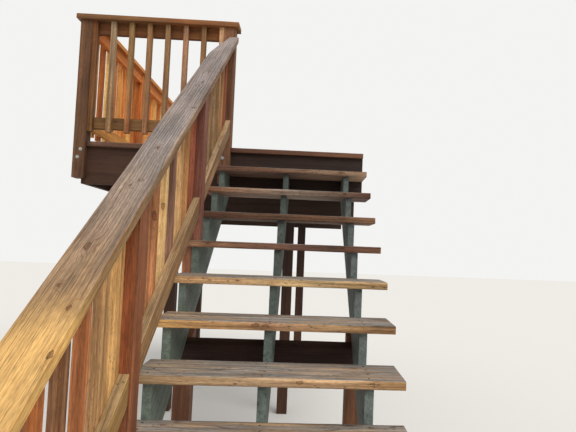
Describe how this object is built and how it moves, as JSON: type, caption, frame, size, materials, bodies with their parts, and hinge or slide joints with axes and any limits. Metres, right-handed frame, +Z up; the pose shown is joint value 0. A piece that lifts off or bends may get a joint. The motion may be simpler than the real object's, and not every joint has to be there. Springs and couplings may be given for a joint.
{
  "type": "wooden deck stairs",
  "caption": "Open wooden stair of double-board treads on sawtooth stringers, with a sloping baluster guard on one side, rising to a railed landing deck on posts.",
  "frame": {"origin": "on the ground, at the middle of the middle stringer's foot", "axes": "+X to the right of someone going up, +Y level along the flight towards the deck, +Z up"},
  "size_m": [2.2305, 5.3105, 3.166],
  "materials": {
    "stringer_wood": "grey-green treated softwood, incised",
    "tread_wood": "weathered grey tops with tan edges",
    "post_wood": "red-brown, grain open",
    "cap_wood": "weathered grey-brown",
    "rail_wood": "dry tan to brown",
    "baluster_wood": "mixed tan, red and brown",
    "deck_wood": "weathered grey-brown",
    "frame_wood": "dark red-brown",
    "support_wood": "dark brown, rough"
  },
  "bodies": {
    "root": {"stringer_left": "stringer_wood", "stringer_middle": "stringer_wood", "stringer_right": "stringer_wood", "tread_01": "tread_wood", "tread_02": "tread_wood", "tread_03": "tread_wood", "tread_04": "tread_wood", "tread_05": "tread_wood", "tread_06": "tread_wood", "tread_07": "tread_wood", "tread_08": "tread_wood", "tread_09": "tread_wood", "tread_10": "tread_wood", "tread_11": "tread_wood", "stair_post_foot": "post_wood", "stair_post_lower": "post_wood", "stair_post_upper": "post_wood", "stair_post_top": "post_wood", "corner_post": "post_wood", "side_post_middle": "post_wood", "side_post_back": "post_wood", "stair_cap": "cap_wood", "front_guard_cap": "cap_wood", "side_guard_cap": "cap_wood", "stair_sub_rail": "rail_wood", "stair_bottom_rails": "rail_wood", "front_guard_top_rail": "rail_wood", "front_guard_bottom_rail": "rail_wood", "side_guard_top_rails": "rail_wood", "side_guard_bottom_rails": "rail_wood", "stair_balusters_lower": "baluster_wood", "stair_balusters_middle": "baluster_wood", "stair_balusters_upper": "baluster_wood", "front_guard_balusters": "baluster_wood", "side_guard_balusters": "baluster_wood", "deck_boards": "deck_wood", "front_rim": "frame_wood", "back_rim": "frame_wood", "deck_joists": "frame_wood", "front_beam": "frame_wood", "back_beam": "frame_wood", "deck_post_front_left": "support_wood", "deck_post_front_right": "support_wood", "deck_post_back_left": "support_wood", "deck_post_back_right": "support_wood", "support_post_left": "support_wood", "support_post_right": "support_wood", "support_cross_board": "support_wood"}
  },
  "joints": []
}
